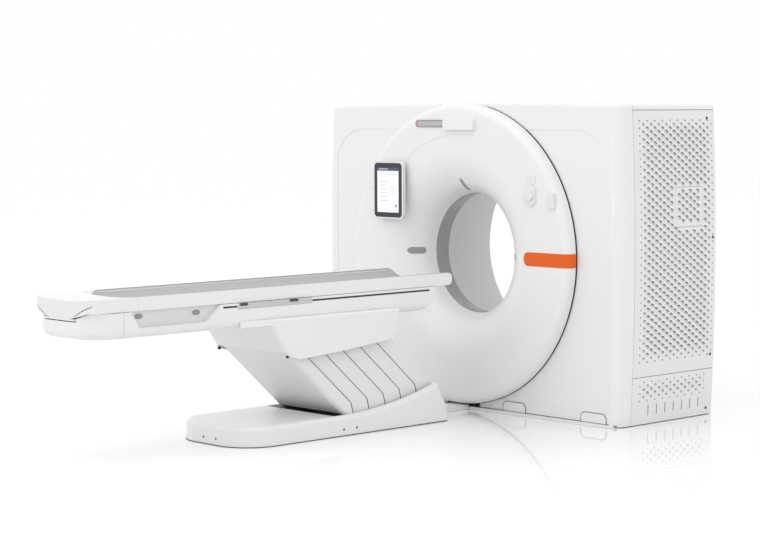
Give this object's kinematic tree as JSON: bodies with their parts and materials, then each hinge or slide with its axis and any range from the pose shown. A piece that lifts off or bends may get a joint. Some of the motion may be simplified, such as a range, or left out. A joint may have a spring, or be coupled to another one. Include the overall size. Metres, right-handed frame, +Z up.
{
  "type": "ct scanner",
  "caption": "Computed tomography scanner: round-faced gantry with a turning assembly round its bore, and a patient table with a sliding trough top on a leaning parallelogram lift.",
  "frame": {"origin": "on the floor, straight under the bore axis, in the plane where the front disc ends and the housing begins", "axes": "+X to the right as seen from the foot of the table, +Y from the table through the bore to the gantry's back, +Z up"},
  "size_m": [2.367, 3.636, 1.761],
  "materials": {
    "white_shell": "satin",
    "panel_white": "satin",
    "tunnel_grey": "satin",
    "window_dark": "gloss",
    "seal_dark": "matt",
    "frame_paint": "satin",
    "bearing_steel": "satin",
    "cast_aluminium": "satin",
    "lens_blue": "gloss",
    "screen_dark": "gloss",
    "tablet_white": "gloss",
    "sensor_grey": "satin",
    "accent_orange": "satin",
    "table_white": "satin",
    "column_grey": "satin",
    "rail_grey": "satin",
    "clamp_dark": "satin",
    "carbon_top": "satin",
    "grip_grey": "satin",
    "pad_vinyl": "matt"
  },
  "bodies": {
    "frame": {"front_disc_cover": "white_shell", "disc_seal": "seal_dark", "scan_window": "window_dark", "rear_funnel": "tunnel_grey", "front_housing_right": "white_shell", "front_housing_left": "white_shell", "top_cover": "white_shell", "side_panel_right": "panel_white", "service_hatch": "panel_white", "side_panel_left": "panel_white", "lower_panel_right": "panel_white", "lower_panel_left": "panel_white", "rear_cover": "panel_white", "panel_screws": "bearing_steel", "foot_covers": "white_shell", "status_lens": "lens_blue", "status_housing": "white_shell", "tablet_dock": "white_shell", "tablet_case": "tablet_white", "tablet_screen": "screen_dark", "sensor_mount": "sensor_grey", "sensor_box": "sensor_grey", "accent_strip": "accent_orange", "laser_windows": "window_dark", "gantry_base_frame": "frame_paint", "stator_frame": "frame_paint", "bearing_outer_race": "bearing_steel", "table_base_cover": "table_white", "floor_duct": "white_shell", "table_base_frame": "frame_paint", "lift_gearmotor": "frame_paint"},
    "rotor": {"rotor_drum": "cast_aluminium", "bearing_inner_race": "bearing_steel", "slip_ring": "cast_aluminium", "xray_tube": "cast_aluminium", "collimator": "bearing_steel", "detector_arc": "cast_aluminium", "hv_generator": "frame_paint"},
    "bowtie_carriage": {"bowtie_filter": "cast_aluminium"},
    "slit_carriage": {"collimator_slit": "bearing_steel"},
    "front_arms": {"front_lift_arms": "frame_paint"},
    "rear_arms": {"rear_lift_arms": "frame_paint"},
    "front_column": {"column_front_cover": "column_grey"},
    "side_lamella_2": {"lamella_2": "column_grey"},
    "side_lamella_3": {"lamella_3": "column_grey"},
    "side_lamella_4": {"lamella_4": "column_grey"},
    "side_lamella_5": {"lamella_5": "column_grey"},
    "rear_column": {"column_rear_cover": "column_grey"},
    "cradle": {"cradle_frame": "frame_paint", "cradle_cover_right": "table_white", "cradle_cover_left": "table_white", "table_beam": "table_white", "foot_end_cover": "table_white", "guide_rails": "rail_grey", "accessory_rails": "rail_grey", "rail_clamps": "clamp_dark"},
    "sliding_top": {"tabletop": "carbon_top", "foot_cap": "table_white", "foot_grip": "grip_grey", "mattress": "pad_vinyl"}
  },
  "joints": [
    {"name": "lift_swing", "type": "hinge", "parent": "frame", "child": "front_arms", "pos_m": [0, -1.04, 0.1], "axis": [-1, 0, 0], "range_deg": [-24, 3]},
    {"name": "rear_arms_swing", "type": "hinge", "parent": "frame", "child": "rear_arms", "pos_m": [0, -0.64, 0.1], "axis": [-1, 0, 0], "range_deg": [-24, 3]},
    {"name": "front_cover_swing", "type": "hinge", "parent": "frame", "child": "front_column", "pos_m": [0, -1.15, 0.09], "axis": [-1, 0, 0], "range_deg": [-24, 3]},
    {"name": "lamella_2_swing", "type": "hinge", "parent": "frame", "child": "side_lamella_2", "pos_m": [0, -1.055, 0.09], "axis": [-1, 0, 0], "range_deg": [-24, 3]},
    {"name": "lamella_3_swing", "type": "hinge", "parent": "frame", "child": "side_lamella_3", "pos_m": [0, -0.9325, 0.09], "axis": [-1, 0, 0], "range_deg": [-24, 3]},
    {"name": "lamella_4_swing", "type": "hinge", "parent": "frame", "child": "side_lamella_4", "pos_m": [0, -0.81, 0.09], "axis": [-1, 0, 0], "range_deg": [-24, 3]},
    {"name": "lamella_5_swing", "type": "hinge", "parent": "frame", "child": "side_lamella_5", "pos_m": [0, -0.6875, 0.09], "axis": [-1, 0, 0], "range_deg": [-24, 3]},
    {"name": "rear_cover_swing", "type": "hinge", "parent": "frame", "child": "rear_column", "pos_m": [0, -0.5, 0.09], "axis": [-1, 0, 0], "range_deg": [-24, 3]},
    {"name": "cradle_level", "type": "hinge", "parent": "front_arms", "child": "cradle", "pos_m": [0, -1.56208, 0.56027], "axis": [-1, 0, 0], "range_deg": [-3, 24]},
    {"name": "tabletop_slide", "type": "slide", "parent": "cradle", "child": "sliding_top", "axis": [0, 1, 0], "range_m": [0, 1.5]},
    {"name": "rotor_spin", "type": "hinge", "parent": "frame", "child": "rotor", "pos_m": [0, 0, 0.894], "axis": [0, 1, 0], "continuous": true},
    {"name": "filter_slide", "type": "slide", "parent": "rotor", "child": "bowtie_carriage", "axis": [0, 1, 0], "range_m": [-0.035, 0.035]},
    {"name": "slit_slide", "type": "slide", "parent": "rotor", "child": "slit_carriage", "axis": [0, 1, 0], "range_m": [-0.02, 0.02]}
  ],
  "couplings": [
    {"joint": "rear_arms_swing", "follows": "lift_swing", "ratio": 1},
    {"joint": "front_cover_swing", "follows": "lift_swing", "ratio": 1},
    {"joint": "lamella_2_swing", "follows": "lift_swing", "ratio": 1},
    {"joint": "lamella_3_swing", "follows": "lift_swing", "ratio": 1},
    {"joint": "lamella_4_swing", "follows": "lift_swing", "ratio": 1},
    {"joint": "lamella_5_swing", "follows": "lift_swing", "ratio": 1},
    {"joint": "rear_cover_swing", "follows": "lift_swing", "ratio": 1},
    {"joint": "cradle_level", "follows": "lift_swing", "ratio": -1}
  ]
}
